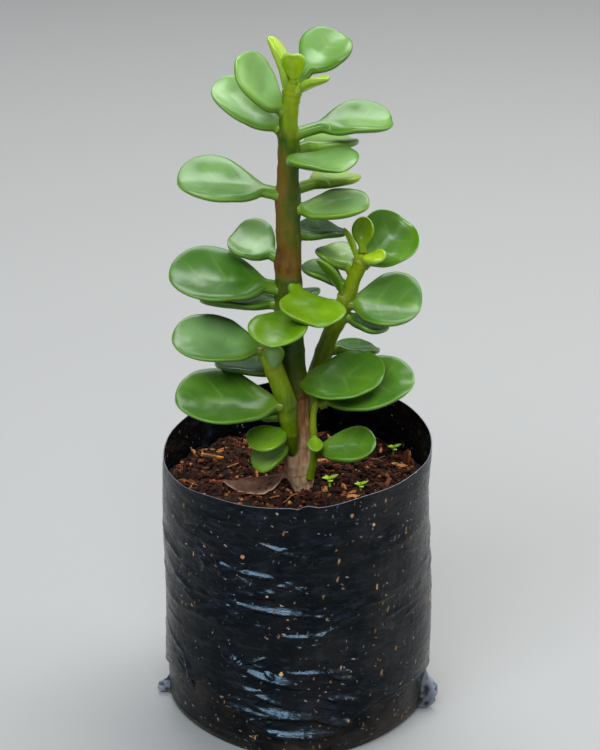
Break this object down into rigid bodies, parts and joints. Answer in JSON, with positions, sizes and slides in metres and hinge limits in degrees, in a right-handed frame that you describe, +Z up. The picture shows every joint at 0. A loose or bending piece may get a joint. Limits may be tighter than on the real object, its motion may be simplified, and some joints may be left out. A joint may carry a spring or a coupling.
{
  "type": "potted jade plant",
  "caption": "Young jade plant with fat, spoon-shaped leaves on thick upright stems, rooted in a black film nursery bag of dark potting mix.",
  "frame": {"origin": "middle of the bag's flat base, on the surface it stands on", "axes": "+Z up, -Y the side seen in the picture, +X to that side's right"},
  "size_m": [0.0872, 0.0831, 0.2111],
  "materials": {
    "film": "thin black polythene film, wrinkled and dusty",
    "potting_mix": "coarse dark bark and fibre mix",
    "bark": "thin grey-brown bark, green higher up",
    "green_stem": "smooth, fleshy green stem",
    "leaf": "smooth, fleshy, waxy green leaf",
    "young_leaf": "smooth, waxy yellow-green leaf",
    "dry_leaf": "dry, brown, brittle leaf",
    "twig": "bare wood and bark",
    "seedling": "soft, bright green seedling"
  },
  "bodies": {
    "root": {"bag": "film", "soil": "potting_mix", "main_stem": "bark", "left_shoot": "green_stem", "right_branch": "green_stem", "right_sucker": "green_stem", "main_leaf_01": "leaf", "main_leaf_02": "leaf", "main_leaf_03": "leaf", "main_leaf_04": "leaf", "main_leaf_05": "leaf", "main_leaf_06": "leaf", "main_leaf_07": "leaf", "main_leaf_08": "leaf", "main_leaf_09": "leaf", "main_leaf_10": "leaf", "main_leaf_11": "leaf", "main_leaf_12": "leaf", "main_leaf_13": "leaf", "main_leaf_14": "leaf", "main_leaf_15": "leaf", "main_leaf_16": "leaf", "main_leaf_17": "leaf", "main_leaf_18": "leaf", "main_leaf_19": "young_leaf", "main_leaf_20": "young_leaf", "main_leaf_21": "young_leaf", "left_leaf_01": "leaf", "left_leaf_02": "leaf", "left_leaf_03": "leaf", "left_leaf_04": "leaf", "left_leaf_05": "young_leaf", "left_leaf_06": "leaf", "branch_leaf_01": "leaf", "branch_leaf_02": "leaf", "branch_leaf_03": "leaf", "branch_leaf_04": "leaf", "branch_leaf_05": "young_leaf", "branch_leaf_06": "leaf", "branch_leaf_07": "leaf", "branch_leaf_08": "young_leaf", "branch_leaf_09": "young_leaf", "branch_leaf_10": "young_leaf", "sucker_leaf_01": "young_leaf", "sucker_leaf_02": "leaf", "sucker_leaf_03": "leaf", "dry_leaf": "dry_leaf", "twig": "twig", "wall_chip": "twig", "seedling_1": "seedling", "seedling_2": "seedling", "seedling_3": "seedling"}
  },
  "joints": []
}
